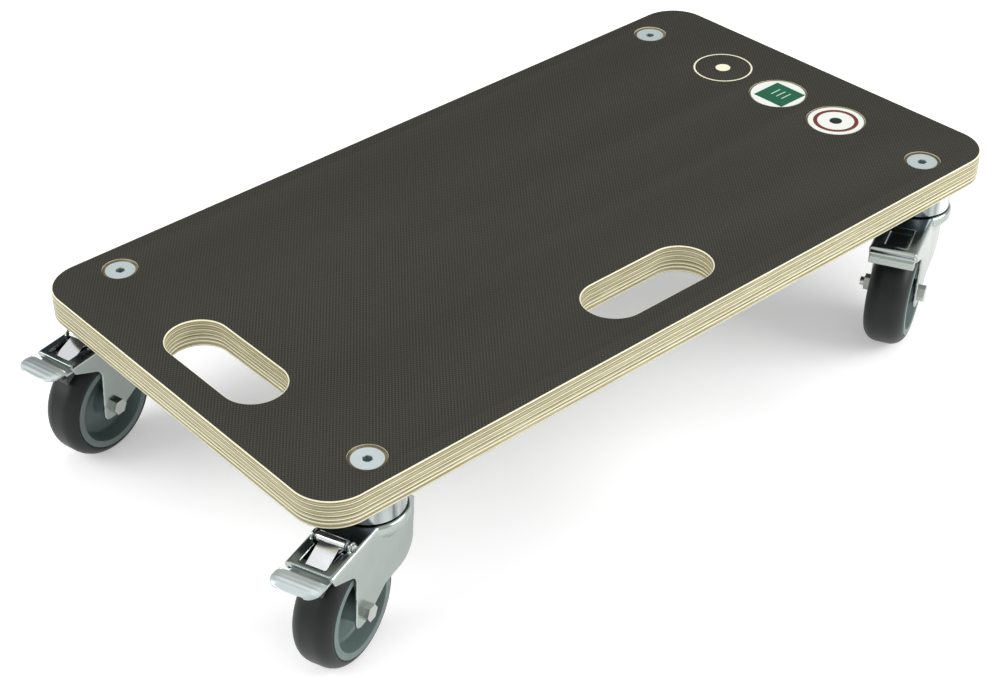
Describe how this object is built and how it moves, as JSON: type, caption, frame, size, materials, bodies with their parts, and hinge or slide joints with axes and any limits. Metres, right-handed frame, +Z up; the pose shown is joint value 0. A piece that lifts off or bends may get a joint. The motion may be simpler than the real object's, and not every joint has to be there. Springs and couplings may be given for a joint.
{
  "type": "platform dolly",
  "caption": "Low transport dolly: a film-faced plywood deck with two hand holes on swivel casters, one end with brake pedals.",
  "frame": {"origin": "centre of the deck's top face", "axes": "+Z up out of the deck's top face, +X along the deck's long side towards the end without a hand hole, +Y across the deck away from the side hand hole"},
  "size_m": [0.6363, 0.3341, 0.1255],
  "materials": {
    "plywood": "sealed cut edge with visible plies",
    "phenolic_film": "matte film with a fine mesh imprint",
    "green_label": "printed round label, satin",
    "red_label": "printed round label, satin",
    "bolt_zinc": "blue zinc plate, satin",
    "zinc": "zinc plate, satin",
    "bright_zinc": "bright zinc plate",
    "fork_zinc": "bright zinc plate on pressed steel",
    "ball_steel": "polished",
    "spring_steel": "drawn wire",
    "rim_plastic": "moulded, satin",
    "tyre_rubber": "soft grey rubber, satin",
    "pad_rubber": "matte"
  },
  "bodies": {
    "deck": {"deck_core": "plywood", "top_film": "phenolic_film", "bottom_film": "phenolic_film", "load_label": "green_label", "notice_label": "red_label", "deck_bolts": "bolt_zinc", "deck_washers": "zinc", "deck_lock_nuts": "zinc", "fl_head_cap": "bright_zinc", "fl_kingpin": "zinc", "fl_lower_race": "zinc", "bl_head_cap": "bright_zinc", "bl_kingpin": "zinc", "bl_lower_race": "zinc", "fr_head_cap": "bright_zinc", "fr_kingpin": "zinc", "fr_lower_race": "zinc", "br_head_cap": "bright_zinc", "br_kingpin": "zinc", "br_lower_race": "zinc"},
    "fl_swivel": {"fl_fork": "fork_zinc", "fl_swivel_balls": "ball_steel", "fl_axle_bolt": "zinc", "fl_axle_nut": "zinc", "fl_axle_sleeve": "zinc", "fl_pedal_pin": "zinc", "fl_pedal_spring": "spring_steel"},
    "fl_wheel": {"fl_rim": "rim_plastic", "fl_tyre": "tyre_rubber"},
    "fl_brake_lever": {"fl_pedal": "fork_zinc", "fl_lock_tongue": "bright_zinc", "fl_brake_pad": "pad_rubber"},
    "bl_swivel": {"bl_fork": "fork_zinc", "bl_swivel_balls": "ball_steel", "bl_axle_bolt": "zinc", "bl_axle_nut": "zinc", "bl_axle_sleeve": "zinc", "bl_pedal_pin": "zinc", "bl_pedal_spring": "spring_steel"},
    "bl_wheel": {"bl_rim": "rim_plastic", "bl_tyre": "tyre_rubber"},
    "bl_brake_lever": {"bl_pedal": "fork_zinc", "bl_lock_tongue": "bright_zinc", "bl_brake_pad": "pad_rubber"},
    "fr_swivel": {"fr_fork": "fork_zinc", "fr_swivel_balls": "ball_steel", "fr_axle_bolt": "zinc", "fr_axle_nut": "zinc", "fr_axle_sleeve": "zinc"},
    "fr_wheel": {"fr_rim": "rim_plastic", "fr_tyre": "tyre_rubber"},
    "br_swivel": {"br_fork": "fork_zinc", "br_swivel_balls": "ball_steel", "br_axle_bolt": "zinc", "br_axle_nut": "zinc", "br_axle_sleeve": "zinc"},
    "br_wheel": {"br_rim": "rim_plastic", "br_tyre": "tyre_rubber"}
  },
  "joints": [
    {"name": "fl_swivel_turn", "type": "hinge", "parent": "deck", "child": "fl_swivel", "pos_m": [-0.2486, -0.13225, -0.0205], "axis": [0, 0, 1], "continuous": true},
    {"name": "fl_wheel_spin", "type": "hinge", "parent": "fl_swivel", "child": "fl_wheel", "pos_m": [-0.2814, -0.14445, -0.08553], "axis": [0.3486, -0.9373, 0], "continuous": true},
    {"name": "fl_brake_press", "type": "hinge", "parent": "fl_swivel", "child": "fl_brake_lever", "pos_m": [-0.28703, -0.14654, -0.033], "axis": [0.3486, -0.9373, 0], "range_deg": [0, 9]},
    {"name": "bl_swivel_turn", "type": "hinge", "parent": "deck", "child": "bl_swivel", "pos_m": [-0.2486, 0.13225, -0.0205], "axis": [0, 0, 1], "continuous": true},
    {"name": "bl_wheel_spin", "type": "hinge", "parent": "bl_swivel", "child": "bl_wheel", "pos_m": [-0.28265, 0.12414, -0.08553], "axis": [0.2317, -0.9728, 0], "continuous": true},
    {"name": "bl_brake_press", "type": "hinge", "parent": "bl_swivel", "child": "bl_brake_lever", "pos_m": [-0.28848, 0.12275, -0.033], "axis": [0.2317, -0.9728, 0], "range_deg": [0, 9]},
    {"name": "fr_swivel_turn", "type": "hinge", "parent": "deck", "child": "fr_swivel", "pos_m": [0.2486, -0.13225, -0.0205], "axis": [0, 0, 1], "continuous": true},
    {"name": "fr_wheel_spin", "type": "hinge", "parent": "fr_swivel", "child": "fr_wheel", "pos_m": [0.21714, -0.14759, -0.08553], "axis": [0.4384, -0.8988, 0], "continuous": true},
    {"name": "br_swivel_turn", "type": "hinge", "parent": "deck", "child": "br_swivel", "pos_m": [0.2486, 0.13225, -0.0205], "axis": [0, 0, 1], "continuous": true},
    {"name": "br_wheel_spin", "type": "hinge", "parent": "br_swivel", "child": "br_wheel", "pos_m": [0.21531, 0.12143, -0.08553], "axis": [0.309, -0.9511, 0], "continuous": true}
  ]
}
